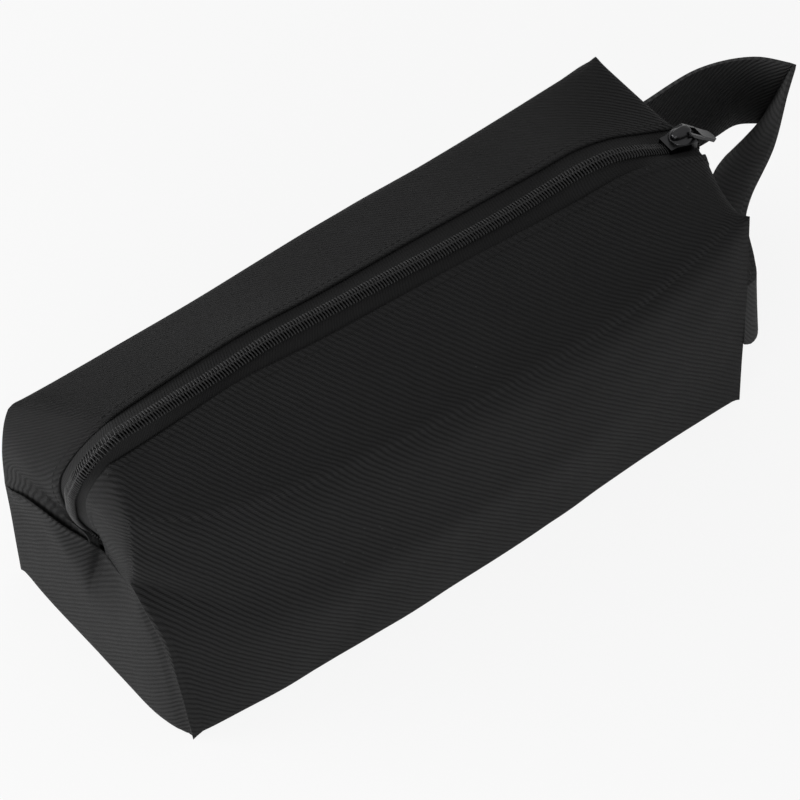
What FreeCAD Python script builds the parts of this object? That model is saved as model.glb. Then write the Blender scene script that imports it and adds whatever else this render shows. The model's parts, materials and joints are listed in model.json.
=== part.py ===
"""Soft zippered tool bag: slumped cloth body, coil zipper with locking slider, webbing handle loop.

Millimetres. +Z is up, +X runs along the bag to the handle end and -Y is the front.
The origin is the middle of the base. The zipper runs in one upright plane, which turns a little to the front
towards the right, over the top and down both ends.
"""
import FreeCAD
import Part
import math
import os

# Bag body
LENGTH = 296.0
BASE_WIDTH = 102.0
CLOTH = 1.0
BACK_HEIGHT = 108.0
BACK_EDGE_RADIUS = 4.0

# Slumped front: the foot spreads, the lower cloth bellies and the shoulder leans back to the zipper
FOOT_SPREAD = 6.6
BELLY_HEIGHT = 48.0
SHOULDER_HEIGHT = 109.0
SHOULDER_LEAN = 29.0
SHOULDER_RADIUS_LEFT = 30.0
SHOULDER_RADIUS_RIGHT = 9.0
SOFT_STEPS = 3
# Left to right: shares of the length, the spread, the belly's lean and the shoulder's lean and height
FRONT_SHARES = [
    (0.00, 0.33, 0.24, 1.00, 0.83), (0.09, 0.60, 0.12, 0.83, 0.92), (0.27, 0.91, -0.18, 0.28, 0.86),
    (0.57, 1.00, -0.23, 0.06, 0.83), (0.83, 0.50, -0.13, 0.00, 0.89), (1.00, 0.45, -0.05, 0.09, 1.00)]

# Seams inside the bag
END_SEAM_LEFT = 64.0
END_SEAM_RIGHT = 54.0
SEAM_ALLOWANCE = 8.0
BINDING = 0.4
BINDING_LAP = 4.0
SEAM_CLEARANCE = 0.3

# Zipper chain
ZIP_OFFSET_LEFT = 6.5
ZIP_OFFSET_RIGHT = -2.0
RIDGE_LEFT = 129.0
RIDGE_RIGHT = 107.0
BEND_LEFT = 26.0
BEND_RIGHT = 3.5
BEND_STEPS = 8
HEM_SPACING = 19.0
TAPE_WIDTH = 14.0
TAPE_SLOT = 3.0
TAPE = 0.6
TAPE_CLEARANCE = 0.25
COIL_PITCH = 2.0
COIL_WIRE = 0.7
COIL_REACH = 0.3
COIL_BACK = 2.7
COIL_HEIGHT = 2.2
COIL_SHOULDER_SHARE = 0.62
COIL_CLEARANCE = 0.05

# Slider
SLIDER_LENGTH = 12.0
SLIDER_PLATE = 1.1
SLIDER_FLANGE = 0.9
RUN_CLEARANCE = 0.3
POST_WIDTH = 2.2
POST_LENGTH = 5.6
POST_SETBACK = 0.5
CAP_WIDTH = 4.4
CAP_LENGTH = 9.0
CAP_HEIGHT = 4.6
CAP_ROUND = 2.2
PAWL_WIDTH = 1.0
PAWL_LENGTH = 3.6
PAWL_THICKNESS = 0.5

# Pull
PULL_PIN = 1.2
PULL_PIN_HEIGHT = 2.5
PULL_PIN_SETBACK = 1.9
PULL_LENGTH = 20.0
PULL_WIDTH = 5.6
PULL_THICKNESS = 1.5
PULL_ARM = 1.1
PULL_ROUND = 2.4
PULL_DROOP = 40.0

# Handle
STRAP_WIDTH = 38.0
STRAP = 1.8
STRAP_MIDDLE = 49.0
HANDLE_REACH = 77.0
HANDLE_ROOT = 15.0
HANDLE_BOW = 24.0
HANDLE_FOLD = 4.0
ROOT_CLEARANCE = 0.1
# Line of the strap seen from above: shares of the reach and of half the base width
STRAP_SHARES = [(0.38, 0.90), (0.83, 0.80), (1.02, 0.58), (0.59, 0.25), (0.28, -0.16)]

HALF_LENGTH = LENGTH / 2
HALF_WIDTH = BASE_WIDTH / 2
HALF_HEM = HEM_SPACING / 2
STRIP_EDGE = TAPE_SLOT / 2 + TAPE_WIDTH + CLOTH
# The line of a wall ends with its top edge, the edge of the flat strip and the hem
TOP_EDGE = -3
V = FreeCAD.Vector


def mix(left, right, x):
    """Value at x of a size that runs evenly from the left end to the right end."""
    return left + (right - left) * (x + HALF_LENGTH) / LENGTH


def offset_points(points, distance):
    """Moves an open line of 2D points to its left side by a distance, with mitred corners."""
    normals = []
    for (a0, b0), (a1, b1) in zip(points, points[1:]):
        size = math.hypot(a1 - a0, b1 - b0)
        normals.append((-(b1 - b0) / size, (a1 - a0) / size))
    pairs = zip([normals[0]] + normals, normals + [normals[-1]])
    moved = []
    for (a, b), (n, m) in zip(points, pairs):
        scale = distance / (1 + n[0] * m[0] + n[1] * m[1])
        moved.append((a + (n[0] + m[0]) * scale, b + (n[1] + m[1]) * scale))
    return moved


def turn(before, corner, after):
    """Signed angle by which a line turns at a corner, positive to the left."""
    first = math.atan2(corner[1] - before[1], corner[0] - before[0])
    second = math.atan2(after[1] - corner[1], after[0] - corner[0])
    return math.remainder(second - first, 2 * math.pi)


def toward(start, end, distance):
    """Point at a distance from start on the way to end."""
    share = distance / math.hypot(end[0] - start[0], end[1] - start[1])
    return (start[0] + (end[0] - start[0]) * share, start[1] + (end[1] - start[1]) * share)


def rounded(points, radii):
    """Splits a line with rounded corners into (start, middle or None, end) pieces."""
    pieces = []
    here = points[0]
    for i, radius in enumerate(radii, 1):
        angle = turn(points[i - 1], points[i], points[i + 1])
        leg = radius * math.tan(abs(angle) / 2)
        start = toward(points[i], points[i - 1], leg)
        end = toward(points[i], points[i + 1], leg)
        middle = ((start[0] + end[0]) / 2, (start[1] + end[1]) / 2)
        top = radius / math.cos(angle / 2) - radius
        pieces.append((here, None, start))
        pieces.append((start, toward(points[i], middle, top), end))
        here = end
    pieces.append((here, None, points[-1]))
    return pieces


def softened(points, corner, radius):
    """Line of points with one corner eased by short chords."""
    start, middle, end = rounded(points[corner - 1:corner + 2], [radius])[1]
    arc = Part.Arc(V(start[0], start[1], 0), V(middle[0], middle[1], 0), V(end[0], end[1], 0))
    first, last = arc.FirstParameter, arc.LastParameter
    eased = [arc.value(first + (last - first) * i / SOFT_STEPS) for i in range(SOFT_STEPS + 1)]
    return points[:corner] + [(p.x, p.y) for p in eased] + points[corner + 1:]


def edges_of(pieces, place):
    """Lines and arcs in space for 2D pieces."""
    edges = []
    for start, middle, end in pieces:
        if middle is None:
            edges.append(Part.LineSegment(place(*start), place(*end)).toShape())
        else:
            edges.append(Part.Arc(place(*start), place(*middle), place(*end)).toShape())
    return edges


def offset_radii(points, radii, distance):
    """Corner radii of a line that is moved to its left side."""
    changed = []
    for i, radius in enumerate(radii, 1):
        side = math.copysign(1, turn(points[i - 1], points[i], points[i + 1]))
        changed.append(radius - side * distance)
    return changed


def band(points, radii, near, far, place):
    """Closed outline between two offsets of one rounded line."""
    one = rounded(offset_points(points, near), offset_radii(points, radii, near))
    two = rounded(offset_points(points, far), offset_radii(points, radii, far))
    back = [(end, middle, start) for start, middle, end in reversed(two)]
    ends = [(one[-1][2], None, back[0][0])]
    close = [(back[-1][2], None, one[0][0])]
    return Part.Wire(edges_of(one + ends + back + close, place))


def plate(points, place, along):
    """Flat piece from an outline of 2D points, given thickness by a vector."""
    wire = Part.makePolygon([place(*p) for p in points + points[:1]])
    return Part.Face(wire).extrude(along)


def box(x, y, z):
    """Box between pairs of limits."""
    return Part.makeBox(x[1] - x[0], y[1] - y[0], z[1] - z[0], V(x[0], y[0], z[0]))


def save(shape, node):
    """Writes one node of the part."""
    shape.exportStep("parts/" + node + ".step")


# Line of the cloth surface over the zipper, from the left end seam to the right one
RIDGE = [(-HALF_LENGTH, END_SEAM_LEFT), (-HALF_LENGTH, RIDGE_LEFT),
         (HALF_LENGTH, RIDGE_RIGHT), (HALF_LENGTH, END_SEAM_RIGHT)]
BENDS = [BEND_LEFT, BEND_RIGHT]
SLOPE = math.atan((RIDGE_LEFT - RIDGE_RIGHT) / LENGTH)
YAW = math.atan((ZIP_OFFSET_RIGHT - ZIP_OFFSET_LEFT) / LENGTH)


def zip_at(x):
    """Position across the bag of the middle of the zipper."""
    return mix(ZIP_OFFSET_LEFT, ZIP_OFFSET_RIGHT, x)


def beside_zip(offset):
    """Placer for a plane at an offset from the middle plane of the zipper."""
    return lambda a, b: V(a, zip_at(a) + offset, b)


def arc_stations(corner):
    """Positions along the bag and heights of the cloth where the zipper bends over an end."""
    start, middle, end = rounded(RIDGE, BENDS)[2 * corner - 1]
    arc = Part.Arc(V(start[0], start[1], 0), V(middle[0], middle[1], 0), V(end[0], end[1], 0))
    first, last = arc.FirstParameter, arc.LastParameter
    points = [arc.value(first + (last - first) * i / BEND_STEPS) for i in range(BEND_STEPS + 1)]
    return [(p.x, p.y) for p in points]


def stations():
    """Cross-sections that the cloth passes: both bends and the front's form, one cloth inside the ends."""
    left, right = arc_stations(1), arc_stations(2)
    places = [-HALF_LENGTH + LENGTH * row[0] for row in FRONT_SHARES]
    between = [(x, mix(RIDGE_LEFT, RIDGE_RIGHT, x)) for x in places if left[-1][0] < x < right[0][0]]
    rows = left + between + right
    inner = HALF_LENGTH - CLOTH
    kept = [row for row in rows if abs(row[0]) < inner - CLOTH]
    ends = []
    for sign, radius, row in ((-1, BEND_LEFT, rows[0]), (1, BEND_RIGHT, rows[-1])):
        rise = math.sqrt(radius ** 2 - (radius - CLOTH) ** 2)
        ends.append((sign * inner, row[1] + rise))
    return [ends[0]] + kept + [ends[1]]


STATIONS = stations()


def front_shares(x):
    """Shares of the front's form at a position along the bag."""
    share = (x + HALF_LENGTH) / LENGTH
    for low, high in zip(FRONT_SHARES, FRONT_SHARES[1:]):
        if share <= high[0]:
            break
    part = (share - low[0]) / (high[0] - low[0])
    return [a + (b - a) * part for a, b in zip(low[1:], high[1:])]


def front_line(x, ridge):
    """Foot, belly, shoulder and hem of the front cloth at one cross-section."""
    spread, belly, lean, height = front_shares(x)
    foot = (-HALF_WIDTH - FOOT_SPREAD * spread, 0)
    middle = (-HALF_WIDTH + SHOULDER_LEAN * belly, BELLY_HEIGHT)
    shoulder = (-HALF_WIDTH + SHOULDER_LEAN * lean, SHOULDER_HEIGHT * height)
    return [foot, middle, shoulder, (zip_at(x) - STRIP_EDGE, ridge), (zip_at(x) - HALF_HEM, ridge)]


def back_line(x, ridge):
    """Foot, top edge and hem of the back cloth at one cross-section."""
    strip = (zip_at(x) + STRIP_EDGE, ridge)
    return [(HALF_WIDTH, 0), (HALF_WIDTH, BACK_HEIGHT), strip, (zip_at(x) + HALF_HEM, ridge)]


def shoulder_radius(x):
    """Roundness of the top front edge at one cross-section."""
    return mix(SHOULDER_RADIUS_LEFT, SHOULDER_RADIUS_RIGHT, x)


def back_radius(x):
    """Roundness of the top back edge, the same all along."""
    return BACK_EDGE_RADIUS


def wall(line, radius_at, inward):
    """Cloth from the base up one side and over to the zipper."""
    wires = []
    for x, ridge in STATIONS:
        outer = softened(line(x, ridge), TOP_EDGE, radius_at(x))
        inner = offset_points(outer, inward * CLOTH)
        corners = [V(x, a, b) for a, b in outer + inner[::-1]]
        wires.append(Part.makePolygon(corners + corners[:1]))
    cloth = Part.makeLoft(wires, True, True)
    under = box((-LENGTH, LENGTH), (-LENGTH, LENGTH), (-LENGTH, CLOTH))
    return cloth.cut(under)


def wall_at(points, z):
    """Position across the bag of a wall's outer line at a height."""
    for low, high in zip(points, points[1:]):
        if z <= high[1]:
            break
    return low[0] + (high[0] - low[0]) * (z - low[1]) / (high[1] - low[1])


def end_cloth(sign):
    """Lower end panel, upper front and upper back end panels of one end, with turned-in seam edges."""
    x, ridge = STATIONS[0 if sign < 0 else -1]
    seam = END_SEAM_LEFT if sign < 0 else END_SEAM_RIGHT
    front = front_line(x, ridge)
    back = back_line(x, ridge)
    out = V(sign * CLOTH, 0, 0)
    place = lambda a, b: V(x, a, b)
    front_seam = (wall_at(front, seam), seam)
    below = [point for point in front if point[1] < seam]
    lower = plate(below + [front_seam, (HALF_WIDTH, seam), back[0]], place, out)
    panels = []
    for line, radius, corner in ((front, shoulder_radius(x), front_seam), (back, BACK_EDGE_RADIUS, None)):
        corner = corner or (HALF_WIDTH, seam)
        outline = softened([corner] + line[TOP_EDGE:], TOP_EDGE, radius) + [(line[-1][0], seam)]
        panels.append(plate(outline, place, out))
    margin = CLOTH + SEAM_ALLOWANCE + SEAM_CLEARANCE
    low, high = front_seam[0] + margin, HALF_WIDTH - margin
    fold = sorted((x, x - sign * SEAM_ALLOWANCE))
    lower = lower.fuse(box(fold, (low, high), (seam - CLOTH, seam)))
    above = (seam, seam + CLOTH)
    panels[0] = panels[0].fuse(box(fold, (low, front[-1][0]), above))
    panels[1] = panels[1].fuse(box(fold, (back[-1][0], high), above))
    return lower, panels[0], panels[1], (low, high)


def end_binding(sign, limits):
    """Folded tape round the raw edges of one end seam."""
    seam = END_SEAM_LEFT if sign < 0 else END_SEAM_RIGHT
    edge = HALF_LENGTH - CLOTH - SEAM_ALLOWANCE
    outer = sorted((sign * (edge + BINDING_LAP), sign * (edge - BINDING)))
    inner = sorted((sign * (edge + BINDING_LAP), sign * edge))
    shell = box(outer, limits, (seam - CLOTH - BINDING, seam + CLOTH + BINDING))
    return shell.cut(box(inner, limits, (seam - CLOTH, seam + CLOTH)))


def corner_binding(sign, line, side):
    """Bound seam edge up one inside corner, set across the corner."""
    x, ridge = STATIONS[0 if sign < 0 else -1]
    points = line(x, ridge)
    half = CLOTH + BINDING
    diagonal = math.sqrt(2)
    top = points[TOP_EDGE][1] - (shoulder_radius(x) if side < 0 else BACK_EDGE_RADIUS)
    bends = [point[1] for point in points[1:TOP_EDGE]]
    wires = []
    for z in [CLOTH + SEAM_CLEARANCE] + bends + [top]:
        y = wall_at(points, z) - side * (CLOTH + SEAM_CLEARANCE) * diagonal
        start = V(x - sign * SEAM_CLEARANCE, y, z)
        into = V(-sign / diagonal, -side / diagonal, 0)
        across = V(-side / diagonal, sign / diagonal, 0) * half
        root = start + into * half
        tip = root + into * SEAM_ALLOWANCE
        corners = [root - across, tip - across, tip + across, root + across]
        wires.append(Part.makePolygon(corners + corners[:1]))
    return Part.makeLoft(wires, True, True)


def tape_half(side):
    """Woven tape on one side of the chain, under the hem and down both ends."""
    near = CLOTH + TAPE_CLEARANCE
    lift = CLOTH + TAPE_CLEARANCE
    line = [(RIDGE[0][0], RIDGE[0][1] + lift)] + RIDGE[1:3] + [(RIDGE[3][0], RIDGE[3][1] + lift)]
    face = Part.Face(band(line, BENDS, -near, -near - TAPE, beside_zip(side * TAPE_SLOT / 2)))
    return face.extrude(V(0, side * TAPE_WIDTH, 0))


def chain_path():
    """Pieces of the line on the outside of the tape that the coils follow."""
    inset = CLOTH + TAPE_CLEARANCE
    lift = CLOTH + TAPE_CLEARANCE + COIL_PITCH
    line = [(RIDGE[0][0], RIDGE[0][1] + lift)] + RIDGE[1:3] + [(RIDGE[3][0], RIDGE[3][1] + lift)]
    return rounded(offset_points(line, -inset), offset_radii(line, BENDS, -inset))


CHAIN = chain_path()
SLIDER_FRONT = CHAIN[2][2]


def chain_edges():
    """Chain line as lengths with the curve that each one follows."""
    runs = []
    for edge in edges_of(CHAIN, beside_zip(0)):
        runs.append((edge.Length, edge))
    return runs


def parting(distance):
    """Sideways shift of a coil that lies a distance behind the slider's front end."""
    full = POST_WIDTH / 2 + RUN_CLEARANCE + COIL_REACH
    start = POST_SETBACK + POST_LENGTH + COIL_BACK
    end = POST_SETBACK + POST_LENGTH / 2
    return full * min(1, max(0, (start - distance) / (start - end)))


def coil_half(side):
    """Row of coil loops sewn along one tape edge; they mesh up to the slider and part beyond it."""
    reach, back = -COIL_REACH, COIL_BACK
    shoulder = COIL_HEIGHT * COIL_SHOULDER_SHARE
    loop = [(reach, 0), (reach, shoulder), (reach / 2 + back / 2, COIL_HEIGHT), (back, shoulder), (back, 0)]
    runs = chain_edges()
    front = runs[0][0] + runs[1][0] + runs[2][0]
    total = sum(size for size, edge in runs)
    count = int(total / COIL_PITCH)
    stagger = 0 if side < 0 else COIL_PITCH / 2
    loops = []
    for i in range(count):
        station = stagger + i * COIL_PITCH + COIL_WIRE
        rest = station
        for size, edge in runs:
            if rest <= size:
                break
            rest -= size
        spot = edge.getParameterByLength(rest)
        point = edge.valueAt(spot)
        ahead = edge.tangentAt(spot)
        up = V(-ahead.z, 0, ahead.x)
        shift = parting(front - station)
        corners = []
        for across, rise in loop:
            sideways = V(0, side * (across + shift), 0)
            corners.append(point + sideways + up * (rise + COIL_CLEARANCE) - ahead * (COIL_WIRE / 2))
        face = Part.Face(Part.makePolygon(corners + corners[:1]))
        loops.append(face.extrude(ahead * COIL_WIRE))
    return Part.Compound(loops)


SLIDER_TURN = FreeCAD.Rotation(V(0, 0, 1), math.degrees(YAW))
SLIDER_TILT = FreeCAD.Rotation(V(0, 1, 0), math.degrees(SLOPE))
SLIDER_PLACE = FreeCAD.Placement(beside_zip(0)(*SLIDER_FRONT), SLIDER_TURN.multiply(SLIDER_TILT))
CHANNEL_TOP = COIL_CLEARANCE + COIL_HEIGHT + RUN_CLEARANCE
CHANNEL_FLOOR = -TAPE - RUN_CLEARANCE
PLATE_TOP = CHANNEL_TOP + SLIDER_PLATE
NECK = COIL_BACK + RUN_CLEARANCE
MOUTH = NECK + POST_WIDTH / 2 + RUN_CLEARANCE + COIL_REACH
PULL_AXIS = V(-PULL_PIN_SETBACK, 0, PLATE_TOP + PULL_PIN_HEIGHT)


def channel_outline(extra, rear, front):
    """Plan of the slider's Y channel, widened by an extra on both sides."""
    bend = -POST_SETBACK - POST_LENGTH / 2 + COIL_REACH
    throat = -POST_SETBACK - POST_LENGTH - COIL_BACK - COIL_REACH
    half = [(rear, NECK + extra), (throat, NECK + extra), (bend, MOUTH + extra), (front, MOUTH + extra)]
    return half + [(u, -v) for u, v in reversed(half)]


def slider_body():
    """Two plates with a Y channel between them, joined by the post that parts the coils."""
    def layer(extra, low, high, rear=-SLIDER_LENGTH, front=0):
        return plate(channel_outline(extra, rear, front), lambda a, b: V(a, b, low), V(0, 0, high - low))

    top = layer(SLIDER_FLANGE, RUN_CLEARANCE, PLATE_TOP)
    past = (-SLIDER_LENGTH - SLIDER_PLATE, SLIDER_PLATE)
    top = top.cut(layer(0, 0, CHANNEL_TOP, past[0], past[1]))
    bottom = layer(SLIDER_FLANGE, CHANNEL_FLOOR - SLIDER_PLATE, CHANNEL_FLOOR)
    front, middle = -POST_SETBACK, -POST_SETBACK - POST_LENGTH / 2
    rear = -POST_SETBACK - POST_LENGTH
    half = POST_WIDTH / 2
    diamond = [(front, half / 2), (middle, half), (rear, 0), (middle, -half), (front, -half / 2)]
    floor = CHANNEL_FLOOR - SLIDER_PLATE / 2
    post = plate(diamond, lambda a, b: V(a, b, floor), V(0, 0, PLATE_TOP - SLIDER_PLATE / 2 - floor))
    slot = box(pawl_leg(RUN_CLEARANCE), pawl_sides(RUN_CLEARANCE), (CHANNEL_TOP - SLIDER_PLATE, PLATE_TOP))
    body = top.fuse([bottom, post]).cut(slot)
    return body.removeSplitter()


def pawl_leg(extra):
    """Where the leg of the locking pawl stands along the slider."""
    rear = -PULL_PIN_SETBACK - PULL_PIN - PAWL_LENGTH
    return (rear - extra, rear + PAWL_THICKNESS + extra)


def pawl_sides(extra):
    """Sides of the locking pawl."""
    return (-PAWL_WIDTH / 2 - extra, PAWL_WIDTH / 2 + extra)


def lock_pawl():
    """Spring strip on the slider plate with a leg that reaches down to the chain."""
    leg = pawl_leg(0)
    strip = box((leg[0], leg[0] + PAWL_LENGTH), pawl_sides(0), (PLATE_TOP, PLATE_TOP + PAWL_THICKNESS))
    tooth = box(leg, pawl_sides(0), (CHANNEL_TOP - COIL_CLEARANCE, PLATE_TOP))
    return strip.fuse(tooth).removeSplitter()


def slider_cap():
    """Domed cover on the slider: a tunnel for the pull's pin and a pocket over the pawl."""
    low, high = PLATE_TOP, PLATE_TOP + CAP_HEIGHT
    cap = box((-CAP_LENGTH, 0), (-CAP_WIDTH / 2, CAP_WIDTH / 2), (low, high))
    upper = [e for e in cap.Edges if all(v.Point.z > high - COIL_CLEARANCE for v in e.Vertexes)]
    ends = [e for e in upper if abs(e.Vertexes[0].Point.x - e.Vertexes[1].Point.x) < COIL_CLEARANCE]
    cap = cap.makeFillet(CAP_ROUND, ends)
    half = PULL_PIN / 2 + RUN_CLEARANCE
    tunnel_top = PULL_AXIS.z + half
    tunnel = box((PULL_AXIS.x - half, PULL_AXIS.x + half), (-CAP_WIDTH, CAP_WIDTH), (low, tunnel_top))
    leg = pawl_leg(RUN_CLEARANCE)
    pocket = box((leg[0], leg[0] + PAWL_LENGTH + 2 * RUN_CLEARANCE), pawl_sides(RUN_CLEARANCE),
                 (low, low + PAWL_THICKNESS + RUN_CLEARANCE))
    return cap.cut(tunnel).cut(pocket)


def pull_tab():
    """Pull plate whose long eye straddles the cap, with a round pin through the tunnel."""
    inner = CAP_WIDTH / 2 + RUN_CLEARANCE
    outer = inner + PULL_ARM
    eye = CAP_LENGTH - PULL_PIN_SETBACK + PULL_PIN
    half = PULL_PIN / 2
    pin = Part.makeCylinder(half, 2 * outer, V(0, -outer, 0), V(0, 1, 0))
    ring = box((0, eye + PULL_ARM), (-outer, outer), (-half, half))
    ring = ring.cut(box((-PULL_PIN, eye), (-inner, inner), (-PULL_PIN, PULL_PIN)))
    knuckles = []
    for y in (-outer, inner):
        knuckles.append(Part.makeCylinder(half, PULL_ARM, V(0, y, 0), V(0, 1, 0)))
    grip = box((eye, PULL_LENGTH), (-PULL_WIDTH / 2, PULL_WIDTH / 2), (-PULL_THICKNESS / 2, PULL_THICKNESS / 2))
    tip = [e for e in grip.Edges if all(v.Point.x > PULL_LENGTH - RUN_CLEARANCE for v in e.Vertexes)]
    tip = [e for e in tip if abs(e.Vertexes[0].Point.y - e.Vertexes[1].Point.y) < RUN_CLEARANCE]
    grip = grip.makeFillet(PULL_ROUND, tip)
    pull = pin.fuse([ring, grip] + knuckles).removeSplitter()
    pull.Placement = FreeCAD.Placement(PULL_AXIS, FreeCAD.Rotation(V(0, 1, 0), PULL_DROOP))
    return pull


def on_slider(shape):
    """Puts a piece of the slider on the chain."""
    shape.Placement = SLIDER_PLACE.multiply(shape.Placement)
    return shape


def strap_line():
    """Middle line of the strap seen from above, from the back seam round to the front seam."""
    seam = HALF_WIDTH - CLOTH - STRAP / 2
    bends = [(HALF_LENGTH + HANDLE_REACH * out, HALF_WIDTH * across) for out, across in STRAP_SHARES]
    return [(HALF_LENGTH, seam)] + bends + [(HALF_LENGTH, -seam)]


def strap(low, high):
    """Length of the standing strap between two distances from the end of the bag."""
    radii = [HANDLE_BOW, HANDLE_BOW, HANDLE_FOLD, HANDLE_BOW, HANDLE_BOW]
    floor = STRAP_MIDDLE - STRAP_WIDTH / 2
    outline = band(strap_line(), radii, -STRAP / 2, STRAP / 2, lambda a, b: V(a, b, floor))
    whole = Part.Face(outline).extrude(V(0, 0, STRAP_WIDTH))
    reach = (HALF_LENGTH + low, HALF_LENGTH + high)
    return whole.common(box(reach, (-LENGTH, LENGTH), (-LENGTH, LENGTH)))


def main():
    """Builds and writes every node."""
    os.makedirs("parts", exist_ok=True)
    inner = HALF_LENGTH - CLOTH
    feet = [(x, front_line(x, ridge)[0][0]) for x, ridge in STATIONS]
    outline = feet + [(inner, HALF_WIDTH), (-inner, HALF_WIDTH)]
    save(plate(outline, lambda a, b: V(a, b, 0), V(0, 0, CLOTH)), "base_panel")
    save(wall(front_line, shoulder_radius, -1), "front_panel")
    save(wall(back_line, back_radius, 1), "back_panel")
    for sign, name in ((-1, "left"), (1, "right")):
        lower, front, back, limits = end_cloth(sign)
        save(lower, name + "_end_lower")
        save(front, name + "_end_upper_front")
        save(back, name + "_end_upper_back")
        save(end_binding(sign, limits), name + "_end_binding")
        save(corner_binding(sign, front_line, -1), name + "_front_binding")
        save(corner_binding(sign, back_line, 1), name + "_back_binding")
    for side, name in ((-1, "front"), (1, "back")):
        save(tape_half(side), "zipper_tape_" + name)
        save(coil_half(side), "zipper_coil_" + name)
    save(on_slider(slider_body()), "slider_body")
    save(on_slider(slider_cap()), "slider_cap")
    save(on_slider(lock_pawl()), "lock_pawl")
    save(on_slider(pull_tab()), "pull_tab")
    save(strap(HANDLE_ROOT, LENGTH), "handle_loop")
    roots = sorted(strap(0, HANDLE_ROOT - ROOT_CLEARANCE).Solids, key=lambda solid: solid.CenterOfMass.y)
    save(roots[0], "handle_root_front")
    save(roots[1], "handle_root_back")


main()
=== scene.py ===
"""Zippered tool bag: slumped twill shell, coil zipper, locking slider, handle loop and a pale studio stage.

Lengths in the tables are millimetres in the part's frame: +X to the handle end, -Y to the front, +Z up.
"""
import json
import math
from functools import partial

import bmesh
import bpy
import numpy as np
from bpy.props import FloatProperty, FloatVectorProperty, PointerProperty
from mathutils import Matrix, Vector, noise


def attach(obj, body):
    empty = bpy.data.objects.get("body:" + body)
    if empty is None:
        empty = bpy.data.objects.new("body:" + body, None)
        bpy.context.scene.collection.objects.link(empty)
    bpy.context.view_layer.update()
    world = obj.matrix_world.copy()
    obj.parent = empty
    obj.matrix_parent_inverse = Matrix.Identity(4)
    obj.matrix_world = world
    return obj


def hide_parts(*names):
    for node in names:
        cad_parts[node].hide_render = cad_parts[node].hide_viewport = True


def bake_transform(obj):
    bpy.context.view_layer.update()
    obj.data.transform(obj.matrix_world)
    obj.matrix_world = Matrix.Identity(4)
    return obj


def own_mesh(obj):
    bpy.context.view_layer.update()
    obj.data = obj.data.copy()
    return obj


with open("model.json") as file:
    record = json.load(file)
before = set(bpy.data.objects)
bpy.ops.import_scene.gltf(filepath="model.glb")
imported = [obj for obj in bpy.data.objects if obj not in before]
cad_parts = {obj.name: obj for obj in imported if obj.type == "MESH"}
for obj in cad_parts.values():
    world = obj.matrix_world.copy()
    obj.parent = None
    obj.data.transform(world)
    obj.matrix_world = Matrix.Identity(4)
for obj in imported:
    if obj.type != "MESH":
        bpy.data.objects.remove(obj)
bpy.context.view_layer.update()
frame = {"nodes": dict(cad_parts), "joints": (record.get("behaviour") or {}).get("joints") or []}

bl_info = {
    "name": "Zippered Tool Bag",
    "version": (1, 0, 0),
    "blender": (4, 5, 0),
    "location": "View3D > Sidebar > Tool Bag",
    "description": "Cloth, zipper, slider, handle and stage of a soft tool bag",
    "category": "Object",
}

MM = 0.001
FULL_TURN = 2 * math.pi
BAG_MIDDLE = np.array([0, 4, 60])

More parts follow.
